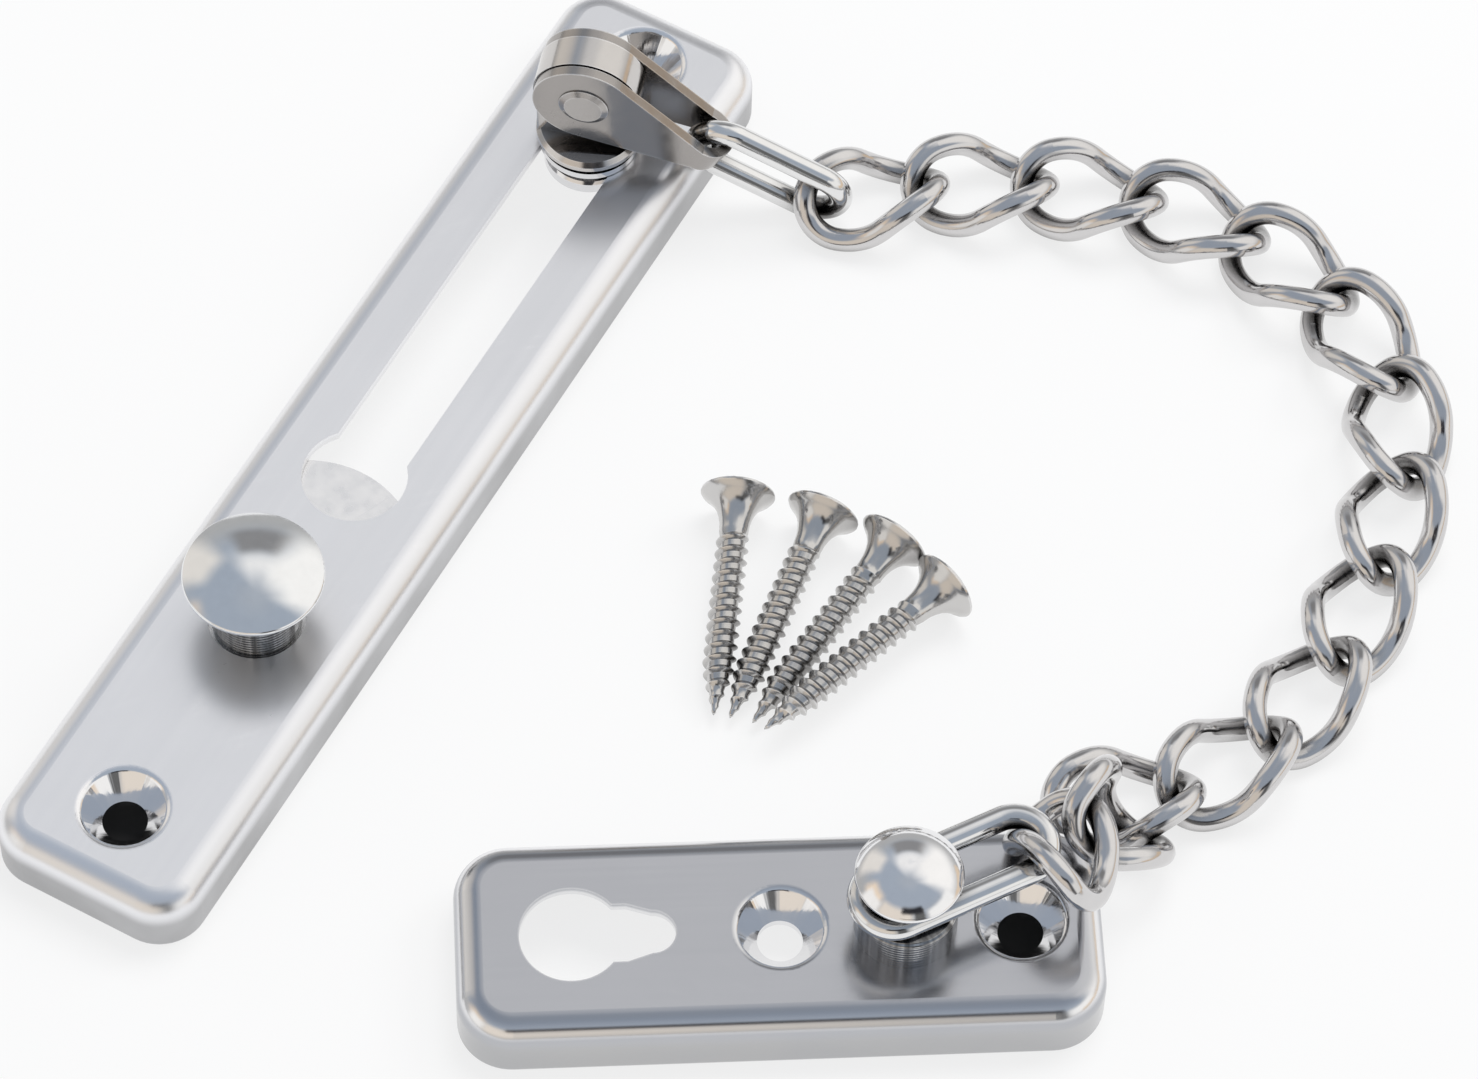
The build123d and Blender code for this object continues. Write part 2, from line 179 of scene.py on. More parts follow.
def new_group(name, inputs, outputs):
    """An empty shader node group; inputs are name: value, where three numbers make a vector."""
    group = bpy.data.node_groups.new(name, "ShaderNodeTree")
    for label, value in inputs.items():
        kind = "NodeSocketVector" if isinstance(value, tuple) else "NodeSocketFloat"
        socket = group.interface.new_socket(label, in_out="INPUT", socket_type=kind)
        socket.default_value = value
    for label in outputs:
        group.interface.new_socket(label, in_out="OUTPUT", socket_type="NodeSocketFloat")
    return group, group.nodes.new("NodeGroupInput").outputs, group.nodes.new("NodeGroupOutput").inputs


def add_group(tree, group, point=None, **values):
    """The group placed in a material with its own values, and its outputs by name."""
    node = tree.nodes.new("ShaderNodeGroup")
    node.node_tree = group
    if point is not None:
        join(tree, point, node.inputs["Point"])
    for name, value in values.items():
        node.inputs[name.replace("_", " ")].default_value = value
    return node.outputs


print("helpers ready")

# %% [markdown]
# ## Floor
#
# The guard lies on a plain white sweep. A white floor could be had with more light, but then the steel
# would be too bright. So the sheet is part matt paint, which takes the soft shadows, and part paper
# that the camera and the reflections see as plain white. Two of the screw holes look deep and dark, so
# right under them the sheet is painted dark, as painted shade, with no white paper. The distance is
# measured in the plate's own space, and the painted dark spot goes along when the plate moves.

# %% Floor
PAPER_SHARE = 0.8
PAPER_WHITE = (0.97, 0.97, 0.97)
PAINT_WHITE = (0.86, 0.86, 0.86)
HOLE_SHADE = (0.03, 0.03, 0.03)
SHADE_INNER = 6.0 * MM
SHADE_OUTER = 8.0 * MM
FLOOR_DROP = 0.1 * MM


def clear_of_holes(tree):
    """0 on the sheet right under the dark holes, 1 elsewhere."""
    clear = None
    for plate, hole in DARK_HOLES.items():
        place = make(tree, "ShaderNodeTexCoord", object=bpy.data.objects[plate]).outputs["Object"]
        gap = make(tree, "ShaderNodeVectorMath", operation="DISTANCE")
        gap.inputs[1].default_value = hole
        join(tree, place, gap.inputs[0])
        beyond = spread(tree, gap.outputs["Value"], SHADE_INNER, SHADE_OUTER)
        clear = beyond if clear is None else sums(tree, "MULTIPLY", clear, beyond)
    return clear


def build_floor():
    """A white sheet under everything."""
    side = 2.0
    mesh = bpy.data.meshes.new("floor")
    corners = [(-side, -side), (side, -side), (side, side), (-side, side)]
    mesh.from_pydata([(x, y, -FLOOR_DROP) for x, y in corners], [], [(0, 1, 2, 3)])
    floor = bpy.data.objects.new("floor", mesh)
    bpy.context.scene.collection.objects.link(floor)
    material = bpy.data.materials.new("white_sweep")
    material.use_nodes = True
    tree = material.node_tree
    paint = tree.nodes["Principled BSDF"]
    paint.inputs["Roughness"].default_value = 0.9
    paint.inputs["Specular IOR Level"].default_value = 0.1
    paper = make(tree, "ShaderNodeEmission", Color=(*PAPER_WHITE, 1.0), Strength=1.0)
    path = make(tree, "ShaderNodeLightPath").outputs
    seen = sums(tree, "MAXIMUM", path["Is Camera Ray"], path["Is Glossy Ray"])
    seen = sums(tree, "MAXIMUM", seen, path["Is Transmission Ray"])
    # painted shade under the two dark holes: there the paper share drops to 0 and the paint goes dark
    clear = clear_of_holes(tree)
    share = sums(tree, "MULTIPLY", sums(tree, "MULTIPLY", seen, PAPER_SHARE), clear)
    join(tree, blend_color(tree, clear, HOLE_SHADE, PAINT_WHITE), paint.inputs["Base Color"])
    mix = make(tree, "ShaderNodeMixShader")
    join(tree, share, mix.inputs[0])
    join(tree, paint.outputs[0], mix.inputs[1])
    join(tree, paper.outputs[0], mix.inputs[2])
    join(tree, mix.outputs[0], tree.nodes["Material Output"].inputs["Surface"])
    mesh.materials.append(material)


build_floor()
print("floor laid")

# %% [markdown]
# ## Room
#
# Polished steel has hardly a colour of its own: it shows the room. This room has a cool ceiling, a
# large bright window behind on the right, a dull wall straight behind, warm walls on the left, and
# white screens with a warm board between them in front, where someone stands as a dark figure. Boxes
# and panels round the layout could make such a room, but they would also catch the lamps and throw
# shadows. So it is painted on the world by direction: a turn about the vertical, counted from straight
# behind, and a rise above the surface. Each patch is one group node, and later patches cover earlier
# ones.

# %% Room
def patch_group():
    """A soft-edged rectangle of directions: 1 inside it."""
    group, given, result = new_group(
        "room patch", {
            "Turn": 0.0, "Rise": 0.0, "Middle Turn": 0.0, "Middle Rise": 0.0, "Half Width": 20.0,
            "Half Height": 10.0, "Softness": 5.0
        }, ["Mask"]
    )
    masks = []
    for angle, half in (("Turn", "Half Width"), ("Rise", "Half Height")):
        middle = "Middle " + angle
        off = sums(group, "SUBTRACT", given[angle], given[middle])
        wrapped = make(group, "ShaderNodeMath", operation="WRAP")
        join(group, off, wrapped.inputs[0])
        wrapped.inputs[1].default_value = 180.0
        wrapped.inputs[2].default_value = -180.0
        size = sums(group, "ABSOLUTE", wrapped.outputs[0], 0.0)
        outer = sums(group, "ADD", given[half], given["Softness"])
        inner = sums(group, "SUBTRACT", given[half], given["Softness"])
        masks.append(spread(group, size, outer, inner, soft=True))
    join(group, sums(group, "MULTIPLY", *masks), result["Mask"])
    return group


# middle turn, middle rise, half width, half height, softness, colour
ROOM_PATCHES = {
    "ceiling edge": (20, 60, 46, 13, 15, (0.96, 0.95, 0.94)),
    "wall behind": (0, 34, 20, 13, 6, (0.28, 0.28, 0.285)),
    "pale wall": (-52, 25, 16, 20, 8, (0.84, 0.80, 0.75)),
    "warm wall": (-105, 30, 18, 12, 8, (0.92, 0.76, 0.60)),
    "window": (60, 42, 38, 30, 14, (1.06, 1.04, 1.01)),
    "white screen on the right": (118, 17, 26, 14, 5, (1.00, 0.99, 0.97)),
    "dark gap": (159, 21, 9, 18, 3, (0.14, 0.14, 0.14)),
    "warm board": (202, 21, 30, 18, 7, (0.84, 0.76, 0.67)),
    "white screen on the left": (249, 17, 16, 14, 5, (0.98, 0.96, 0.93)),
    "warm skirting": (88, 5, 34, 4, 2, (0.80, 0.64, 0.48)),
    "dark figure": (172, 37, 20, 6, 4, (0.03, 0.03, 0.035)),
}
LOW_WALL = (0.46, 0.46, 0.46)
CEILING = (0.39, 0.44, 0.515)
OVERHEAD = (0.43, 0.47, 0.53)
# the rises, in degrees, between which one tone goes over into the next
WALL_TO_CEILING = (5.0, 45.0)
CEILING_TO_OVERHEAD = (66.0, 88.0)


def build_room():
    """World shader: low wall, ceiling and overhead, and the patches over them."""
    world = bpy.data.worlds.new("room")
    bpy.context.scene.world = world
    world.use_nodes = True
    tree = world.node_tree
    place = make(tree, "ShaderNodeTexCoord")
    turned = make(tree, "ShaderNodeVectorRotate", rotation_type="Z_AXIS", Angle=-TURN)
    join(tree, place.outputs["Generated"], turned.inputs["Vector"])
    part = make(tree, "ShaderNodeSeparateXYZ")
    join(tree, turned.outputs[0], part.inputs[0])
    degrees = 180.0 / math.pi
    turn = sums(tree, "MULTIPLY", sums(tree, "ARCTAN2", part.outputs["X"], part.outputs["Y"]), degrees)
    rise = sums(tree, "MULTIPLY", sums(tree, "ARCSINE", part.outputs["Z"], 0.0), degrees)
    color = blend_color(tree, spread(tree, rise, *WALL_TO_CEILING, soft=True), LOW_WALL, CEILING)
    color = blend_color(tree, spread(tree, rise, *CEILING_TO_OVERHEAD, soft=True), color, OVERHEAD)
    patch = patch_group()
    for middle_turn, middle_rise, half_width, half_height, softness, tint in ROOM_PATCHES.values():
        mask = add_group(tree, patch, Middle_Turn=middle_turn, Middle_Rise=middle_rise,
                         Half_Width=half_width, Half_Height=half_height, Softness=softness)["Mask"]
        join(tree, turn, mask.node.inputs["Turn"])
        join(tree, rise, mask.node.inputs["Rise"])
        color = blend_color(tree, mask, color, tint)
    join(tree, color, tree.nodes["Background"].inputs["Color"])
    tree.nodes["Background"].inputs["Strength"].default_value = 1.0


build_room()
print("room patches", len(ROOM_PATCHES))

# %% [markdown]
# ## Lamps
#
# The painted room alone would light the guard from all sides and leave hardly a shadow. Two big soft
# lamps give the sheet its faint shadows and lend them a direction. They stay out of the reflections,
# where a square lamp would draw a hard white square on every dome: the painted window is there for
# that.

# %% Lamps
LAMP_REACH = 1.2


def soft_box(name, turn_deg, rise_deg, size, watts):
    """A square lamp that faces the layout; the turn is counted from straight behind."""
    lamp = bpy.data.lights.new(name, "AREA")
    lamp.shape = "SQUARE"
    lamp.size = size
    lamp.energy = watts
    a = math.radians(turn_deg) - TURN
    e = math.radians(rise_deg)
    way = Vector((math.sin(a) * math.cos(e), math.cos(a) * math.cos(e), math.sin(e)))
    item = bpy.data.objects.new(name, lamp)
    item.location = LOOK_AT + way * LAMP_REACH
    item.rotation_mode = "QUATERNION"
    item.rotation_quaternion = way.to_track_quat("Z", "Y")
    item.visible_glossy = False
    bpy.context.scene.collection.objects.link(item)


soft_box("ceiling_lamp", 20, 62, 0.6, 7)
soft_box("window_lamp", 60, 40, 0.4, 3)
print("lamps", [light.name for light in bpy.data.lights])

# %% [markdown]
# ## Brushed grain and polishing haze
#
# Each effect that several finishes use is a node group, built once and placed with its own values.
# Brushing leaves fine lines along the sheet. They could be a striped picture, but noise that is packed
# tight across the sheet and stretched along it has no seam and no repeat. A polishing wheel leaves a
# slow ripple and a haze that is thicker here and there, which plain noise gives at two sizes.

# %% Grain and haze
def grain_group():
    """Fine streaks along Y, and a slow cloud for uneven tone."""
    group, given, result = new_group(
        "brushed grain", {"Point": (0.0, 0.0, 0.0), "Density": 1800.0, "Length": 30.0}, ["Grain", "Cloud"]
    )
    part = make(group, "ShaderNodeSeparateXYZ")
    join(group, given["Point"], part.inputs[0])
    packed = make(group, "ShaderNodeCombineXYZ")
    for axis, amount in (("X", "Density"), ("Y", "Length"), ("Z", "Density")):
        join(group, sums(group, "MULTIPLY", part.outputs[axis], given[amount]), packed.inputs[axis])
    streak = make(group, "ShaderNodeTexNoise", Scale=1.0, Detail=4.0, Roughness=0.6)
    join(group, packed.outputs[0], streak.inputs["Vector"])
    cloud = make(group, "ShaderNodeTexNoise", Scale=60.0, Detail=3.0, Roughness=0.55)
    join(group, given["Point"], cloud.inputs["Vector"])
    join(group, streak.outputs["Fac"], result["Grain"])
    join(group, cloud.outputs["Fac"], result["Cloud"])
    return group


def haze_group():
    """The slow ripple and the uneven haze that a polishing wheel leaves."""
    group, given, result = new_group(
        "polishing haze", {"Point": (0.0, 0.0, 0.0), "Scale": 260.0}, ["Ripple", "Haze"]
    )
    for label, detail, factor in (("Ripple", 1.0, 1.0), ("Haze", 4.0, 2.7)):
        noise = make(group, "ShaderNodeTexNoise", Detail=detail, Roughness=0.5)
        join(group, given["Point"], noise.inputs["Vector"])
        join(group, sums(group, "MULTIPLY", given["Scale"], factor), noise.inputs["Scale"])
        join(group, noise.outputs["Fac"], result[label])
    return group


GRAIN = grain_group()
HAZE = haze_group()
print("groups", GRAIN.name, HAZE.name)

# %% [markdown]
# ## Worn edges, scratches and painted nip shade
#
# Hands and neighbours rub the edges bright. The edges could be painted by hand, but comparing the real
# normal with that of a slightly rounded copy of the shape finds them all. Handling scratches are thin
# lines, cut from the middle of a stretched noise and kept in patches. In the nips where pieces touch,
# shade is painted into the colour: the Ambient Occlusion node sees how closed in a place is, and there
# the steel is painted dark as painted shade.

# %% Worn edges, scratches and painted nip shade
def edge_group():
    """1 on edges that handling has rubbed bright."""
    group, given, result = new_group("worn edge", {"Width": 0.3 * MM}, ["Edge"])
    rounded = make(group, "ShaderNodeBevel", samples=4)
    join(group, given["Width"], rounded.inputs["Radius"])
    real = make(group, "ShaderNodeNewGeometry")
    match = make(group, "ShaderNodeVectorMath", operation="DOT_PRODUCT")
    join(group, rounded.outputs[0], match.inputs[0])
    join(group, real.outputs["Normal"], match.inputs[1])
    join(group, spread(group, match.outputs["Value"], 0.995, 0.9), result["Edge"])
    return group


def scratch_group():
    """Thin scratches in one direction, in patches."""
    group, given, result = new_group(
        "handling scratches", {"Point": (0.0, 0.0, 0.0), "Direction": 0.7, "Density": 700.0}, ["Scratch"]
    )
    turned = make(group, "ShaderNodeVectorRotate", rotation_type="Z_AXIS")
    join(group, given["Point"], turned.inputs["Vector"])
    join(group, given["Direction"], turned.inputs["Angle"])
    packed = make(group, "ShaderNodeVectorMath", operation="MULTIPLY")
    packed.inputs[1].default_value = (1.0, 0.06, 1.0)
    join(group, turned.outputs[0], packed.inputs[0])
    lines = make(group, "ShaderNodeTexNoise", Detail=1.0)
    join(group, packed.outputs[0], lines.inputs["Vector"])
    join(group, given["Density"], lines.inputs["Scale"])
    near = sums(group, "ABSOLUTE", sums(group, "SUBTRACT", lines.outputs["Fac"], 0.5), 0.0)
    thin = spread(group, near, 0.014, 0.0)
    patches = make(group, "ShaderNodeTexNoise", Scale=90.0, Detail=1.0)
    join(group, given["Point"], patches.inputs["Vector"])
    kept = spread(group, patches.outputs["Fac"], 0.52, 0.62)
    join(group, sums(group, "MULTIPLY", thin, kept), result["Scratch"])
    return group


def nip_shade_group():
    """1 deep in the nips between pieces, where shade is painted, 0 in the open."""
    group, given, result = new_group("painted nip shade", {"Reach": 3.0 * MM}, ["Grime"])
    open_sky = make(group, "ShaderNodeAmbientOcclusion", samples=6)
    join(group, given["Reach"], open_sky.inputs["Distance"])
    join(group, spread(group, open_sky.outputs["AO"], 0.95, 0.35), result["Grime"])
    return group


EDGE = edge_group()
SCRATCH = scratch_group()
NIP_SHADE = nip_shade_group()
print("groups", EDGE.name, SCRATCH.name, NIP_SHADE.name)

# %% [markdown]
# ## Round seats and lathe rings
#
# A coined screw seat is a round patch about an upright axis, and the light fans out on it like the
# blades of a fan. A vertex group could mark it, but the distance from its axis is exact on any mesh.
# Lathe rings are the fine grooves that a turning tool leaves on a neck. They are too fine to model, so
# a sine up the axis stands in for them.

# %% Round seats and lathe rings
def seat_group():
    """A round patch about an upright axis, and a value that changes round it like a fan."""
    group, given, result = new_group(
        "round seat", {
            "Point": (0.0, 0.0, 0.0), "Centre": (0.0, 0.0, 0.0), "Radius": 5.0 * MM, "Softness": 0.4 * MM,
            "Blades": 5.0
        }, ["Seat", "Fan"]
    )
    away = make(group, "ShaderNodeVectorMath", operation="SUBTRACT")
    join(group, given["Point"], away.inputs[0])
    join(group, given["Centre"], away.inputs[1])
    part = make(group, "ShaderNodeSeparateXYZ")
    join(group, away.outputs[0], part.inputs[0])
    flat = make(group, "ShaderNodeCombineXYZ")
    for axis in ("X", "Y"):
        join(group, part.outputs[axis], flat.inputs[axis])
    radius = make(group, "ShaderNodeVectorMath", operation="LENGTH")
    join(group, flat.outputs[0], radius.inputs[0])
    outer = sums(group, "ADD", given["Radius"], given["Softness"])
    inner = sums(group, "SUBTRACT", given["Radius"], given["Softness"])
    join(group, spread(group, radius.outputs["Value"], outer, inner, soft=True), result["Seat"])
    angle = sums(group, "ARCTAN2", part.outputs["Y"], part.outputs["X"])
    fan = make(group, "ShaderNodeTexNoise", noise_dimensions="1D", Scale=1.0, Detail=2.0)
    join(group, sums(group, "MULTIPLY", angle, given["Blades"]), fan.inputs["W"])
    join(group, fan.outputs["Fac"], result["Fan"])
    return group


def ring_group():
    """Even grooves one above the other, as a turning tool leaves them."""
    group, given, result = new_group("lathe rings", {"Point": (0.0, 0.0, 0.0), "Pitch": 0.5 * MM}, ["Ring"])
    part = make(group, "ShaderNodeSeparateXYZ")
    join(group, given["Point"], part.inputs[0])
    turns = sums(group, "DIVIDE", sums(group, "MULTIPLY", part.outputs["Z"], 2 * math.pi), given["Pitch"])
    join(group, spread(group, sums(group, "SINE", turns, 0.0), -1.0, 1.0), result["Ring"])
    return group


SEAT = seat_group()
RING = ring_group()
print("groups", SEAT.name, RING.name)

# %% [markdown]
# ## Satin plates
#
# The plates are pressed from rolled sheet and brushed along their length, then their screw seats are
# coined and polished. So one finish has four places: the brushed top, the rolled edge that handling
# keeps bright, the drawn skirt, which gets a painted shade towards the floor, and the bright seats.
# Each could be a material of its own, but then the joins between them would be hard. Masks over one
# material have soft joins. The grain goes into the roughness and a very shallow bump, because brushing
# changes the shine much more than the colour.

# %% Satin plates
# heights above the back of the plate: where the skirt's painted shade begins to fade and is gone, and the
# rolled edge
SKIRT_FROM = 3.6 * MM
SKIRT_TO = 6.2 * MM
ROLL_LOW = 6.1 * MM
ROLL_TOP = 7.42 * MM
RUBBED = (0.86, 0.86, 0.87)
EDGE_BRIGHT = (0.9, 0.9, 0.91)
SEAT_RADIUS = 5.0 * MM


def steel(name, color, roughness):
    """A bare metal material: returns it with its tree and its shader."""
    material = bpy.data.materials.new(name)
    material.use_nodes = True
    tree = material.node_tree
    shader = tree.nodes["Principled BSDF"]
    shader.inputs["Base Color"].default_value = (*color, 1.0)
    shader.inputs["Metallic"].default_value = 1.0
    shader.inputs["Roughness"].default_value = roughness
    return material, tree, shader


def scaled(color, factor):
    """A lighter or darker colour."""
    return tuple(min(1.0, c * factor) for c in color)


def bump_from(tree, height, strength, depth, before=None):
    """A Bump node on a height between 0 and 1; depth is in metres."""
    node = make(tree, "ShaderNodeBump", Strength=strength, Distance=depth)
    join(tree, height, node.inputs["Height"])
    if before is not None:
        join(tree, before, node.inputs["Normal"])
    return node.outputs[0]


def satin_plate(name, top, skirt, roughness, angle, seats):
    """Brushed sheet steel with polished screw seats; angle is the way of the brushing, from +Y."""
    material, tree, shader = steel(name, top, roughness)
    point = object_point(tree, angle)
    place = object_point(tree)
    grain = add_group(tree, GRAIN, point)
    scratch = add_group(tree, SCRATCH, point)["Scratch"]
    edge = add_group(tree, EDGE)["Edge"]
    bright = None
    fan = None
    for centre in seats:
        seat = add_group(tree, SEAT, place, Centre=tuple(centre), Radius=SEAT_RADIUS)
        bright = seat["Seat"] if bright is None else sums(tree, "MAXIMUM", bright, seat["Seat"])
        patch = sums(tree, "MULTIPLY", seat["Fan"], seat["Seat"])
        fan = patch if fan is None else sums(tree, "MAXIMUM", fan, patch)
    satin = spread(tree, grain["Grain"], 0.3, 0.7, roughness - 0.015, roughness + 0.02)
    satin = sums(tree, "SUBTRACT", satin, sums(tree, "MULTIPLY", scratch, 0.03))
    rough = make(tree, "ShaderNodeMix", data_type="FLOAT")
    join(tree, bright, rough.inputs[0])
    join(tree, satin, rough.inputs[2])
    join(tree, spread(tree, fan, 0.3, 0.7, 0.06, 0.12), rough.inputs[3])
    join(tree, rough.outputs[0], shader.inputs["Roughness"])
    part = make(tree, "ShaderNodeSeparateXYZ")
    join(tree, place, part.inputs[0])
    height = part.outputs["Z"]
    # painted shade: below SKIRT_FROM the skirt has its own painted tone, which fades into the top by
    # SKIRT_TO
    tone = blend_color(tree, spread(tree, height, SKIRT_FROM, SKIRT_TO, soft=True), skirt, top)
    tone = blend_color(tree, spread(tree, grain["Cloud"], 0.3, 0.7, 0.0, 0.35), tone, scaled(top, 0.9))
    above = spread(tree, height, ROLL_LOW - 0.5 * MM, ROLL_LOW + 0.4 * MM, soft=True)
    below = spread(tree, height, ROLL_TOP, ROLL_TOP - 0.7 * MM, soft=True)
    tone = blend_color(tree, sums(tree, "MULTIPLY", above, below), tone, RUBBED)
    tone = blend_color(tree, bright, tone, RUBBED)
    tone = blend_color(tree, sums(tree, "MULTIPLY", edge, 0.6), tone, EDGE_BRIGHT)
    join(tree, tone, shader.inputs["Base Color"])
    marks = sums(tree, "SUBTRACT", grain["Grain"], sums(tree, "MULTIPLY", scratch, 0.3))
    normal = bump_from(tree, marks, 0.03, 0.01 * MM)
    join(tree, bump_from(tree, fan, 0.25, 0.1 * MM, normal), shader.inputs["Normal"])
    return material


# one steel for both plates: their top and skirt tones differ as painted light and painted shade
TRACK_STEEL = satin_plate("satin_track", (0.92, 0.925, 0.95), (0.38, 0.38, 0.385), 0.31, 0.0, TRACK_SEATS)
FRAME_STEEL = satin_plate("satin_frame", (0.50, 0.51, 0.54), (0.52, 0.52, 0.525), 0.19,
                          FRAME_TURN - math.pi / 2, FRAME_SEATS)
print("plates", TRACK_STEEL.name, FRAME_STEEL.name)

# %% [markdown]
# ## Polished steel
#
# The knob, the slider, the stud and the wire came out of a polishing barrel: a mirror with a faint
# ripple, hazy here and there, and brightest on its edges. One shared chrome could dress them all, but
# then they would look like one casting. So a function makes a steel for each, with its own tone,
# roughness and painted shade in the nips. Turned pieces also keep the rings of the lathe, and their
# necks get painted shade with lighter painted reflection streaks round them. The wire of the chain is
# duller than the domes, because it was polished before it was bent.

# %% Polished steel
# the colour of the painted shade in the nips
NIP_SHADE_TONE = (0.07, 0.066, 0.062)
# how dark the painted shade on a neck goes, in its reflection streaks and between them
NECK_SHADE_DARK = 0.12
NECK_SHADE_LIGHT = 0.57
NECK_END = 0.1 * MM


def turned_neck(tree, point, color, rings, axis_at, tone, normal):
    """Lathe rings, and painted shade and reflection streaks, on a neck: the new tone and normal."""
    part = make(tree, "ShaderNodeSeparateXYZ")
    join(tree, point, part.inputs[0])
    height = part.outputs["Z"]
    low, high = (value * MM for value in rings)
    neck = sums(tree, "MULTIPLY", spread(tree, height, low - NECK_END, low + NECK_END),
                spread(tree, height, high + NECK_END, high - NECK_END))
    ring = sums(tree, "MULTIPLY", add_group(tree, RING, point)["Ring"], neck)
    around = add_group(tree, SEAT, point, Centre=tuple(axis_at), Blades=4.0)["Fan"]
    # painted shade on the neck, with lighter painted reflection streaks round its axis
    drawn = blend_color(tree, spread(tree, around, 0.35, 0.65), scaled(color, NECK_SHADE_DARK),
                        scaled(color, NECK_SHADE_LIGHT))
    return blend_color(tree, neck, tone, drawn), bump_from(tree, ring, 0.6, 0.12 * MM, normal)


def polished(name, color, roughness, ripple, rings=None, axis_at=None, scale=260.0, shade_in_nips=0.0):
    """Barrel-polished steel; rings is (lowest, highest) height in millimetres of a neck about axis_at."""
    material, tree, shader = steel(name, color, roughness)
    point = object_point(tree)
    haze = add_group(tree, HAZE, point, Scale=scale)
    scratch = add_group(tree, SCRATCH, point, Direction=0.4, Density=900.0)["Scratch"]
    edge = add_group(tree, EDGE, Width=0.25 * MM)["Edge"]
    rough = spread(tree, haze["Haze"], 0.3, 0.7, roughness * 0.75, roughness * 1.35)
    rough = sums(tree, "ADD", rough, sums(tree, "MULTIPLY", scratch, 0.1))
    normal = bump_from(tree, haze["Ripple"], ripple, 0.05 * MM)
    tone = blend_color(tree, haze["Haze"], scaled(color, 0.95), scaled(color, 1.04))
    tone = blend_color(tree, sums(tree, "MULTIPLY", edge, 0.8), tone, RUBBED)
    if rings:
        tone, normal = turned_neck(tree, point, color, rings, axis_at, tone, normal)
    # painted shade: where a place is closed in, the tone goes dark and the roughness rises
    if shade_in_nips:
        nip = sums(tree, "MULTIPLY", add_group(tree, NIP_SHADE)["Grime"], shade_in_nips)
        tone = blend_color(tree, nip, tone, NIP_SHADE_TONE)
        rough = sums(tree, "ADD", rough, sums(tree, "MULTIPLY", nip, 0.12))
    join(tree, rough, shader.inputs["Roughness"])
    join(tree, tone, shader.inputs["Base Color"])
    join(tree, normal, shader.inputs["Normal"])
    return material


DOME = polished("turned_steel", (0.78, 0.78, 0.79), 0.08, 0.05)
WIRE = polished("wire_steel", (0.66, 0.65, 0.65), 0.12, 0.08, scale=180.0, shade_in_nips=0.95)
LONG_WIRE = polished("long_link_steel", (0.80, 0.80, 0.80), 0.08, 0.05, shade_in_nips=0.85)
print("polished", DOME.name, WIRE.name, LONG_WIRE.name)

# %% [markdown]
# ## Which piece gets which steel
#
# Each node of the frame gets one finish. They could be given out by hand in the material tab, but a
# table by name can't miss a piece: what isn't in it is wire if it is a link, and plain turned steel if
# it isn't.

# %% Finishes
FINISH = {
    "track_plate": TRACK_STEEL,
    "frame_plate": FRAME_STEEL,
    "latch_leaf": polished("spring_leaf", (0.86, 0.86, 0.87), 0.22, 0.1),
    "press_knob": polished("knob_steel", (0.84, 0.85, 0.86), 0.085, 0.02, rings=(5.0, 15.75),
                           axis_at=KNOB_AXIS),
    "frame_stud": polished("stud_steel", (0.86, 0.86, 0.87), 0.07, 0.02, rings=(5.0, 17.7),
                           axis_at=STUD_AXIS),
    "slider_stud": polished("slider_steel", (0.60, 0.58, 0.565), 0.12, 0.04, rings=(8.0, 9.0),
                            axis_at=SLIDER_AXIS, shade_in_nips=0.7),
    # the strap's dark tone is painted shade: it stands in for the shaded slot and plate its ears reflect
    "swivel_strap": polished("strap_steel", (0.38, 0.36, 0.345), 0.18, 0.08, shade_in_nips=0.5),
    "strap_pin": polished("pin_steel", (0.44, 0.42, 0.405), 0.2, 0.1, shade_in_nips=0.6),
    "wood_screws": polished("screw_steel", (0.62, 0.61, 0.60), 0.15, 0.2, shade_in_nips=0.8),
}


def finish_of(name):
    """The material of a node by its name."""
    if name in FINISH:
        return FINISH[name]
    if name in ("slider_link", "stud_link"):
        return LONG_WIRE
    return WIRE if "link" in name else DOME


for name, item in nodes.items():
    item.data.materials.clear()
    item.data.materials.append(finish_of(name))
print("finishes on", len(nodes), "nodes")

# %% [markdown]
# ## The outline of a wood screw
#
# The four screws are alike: a head like a trumpet, then a thread that runs down to a sharp point. The
# outline is a list of distances from the head's face and radii, all in millimetres. The trumpet is
# listed point by point, as its curve has no simple formula, and the thread repeats one small profile,
# which grows out of the neck at the top and thins out into the point.

# %% Screw outline
SCREW_LENGTH = 28.0
HEAD_RADIUS = 4.25
TRUMPET = [
    (0.0, 3.7), (0.06, 3.95), (0.25, 4.2), (0.45, 4.24), (0.75, 4.0), (1.1, 3.55),
    (1.5, 3.05), (2.0, 2.6), (2.6, 2.22), (3.3, 1.94), (4.1, 1.74), (4.9, 1.66)
]
NECK_RADIUS = TRUMPET[-1][1]
THREAD_TOP = TRUMPET[-1][0]
THREAD_END = 27.6
PITCH = 1.5
CORE = 1.4
CREST = 1.9
COLUMNS = 28
# where in the pitch each row of points is, and how high on the thread
THREAD_ROWS = [(0.0, 0.0), (0.42, 0.0), (0.68, 0.85), (0.74, 1.0), (0.80, 0.85)]


def ease(value, low, high):
    """0 below low, 1 above high, smooth between."""
    share = min(1.0, max(0.0, (value - low) / (high - low)))
    return share * share * (3 - 2 * share)


def thread_radius(along, height):
    """Radius of the thread at that distance from the head, for that height on its profile."""
    core = NECK_RADIUS + (CORE - NECK_RADIUS) * ease(along, THREAD_TOP, THREAD_TOP + 2.0)
    radius = core + (CREST - core) * height * ease(along, THREAD_TOP, THREAD_TOP + 1.6)
    return radius * (1.0 - ease(along, SCREW_LENGTH - 6.5, SCREW_LENGTH + 1.5))


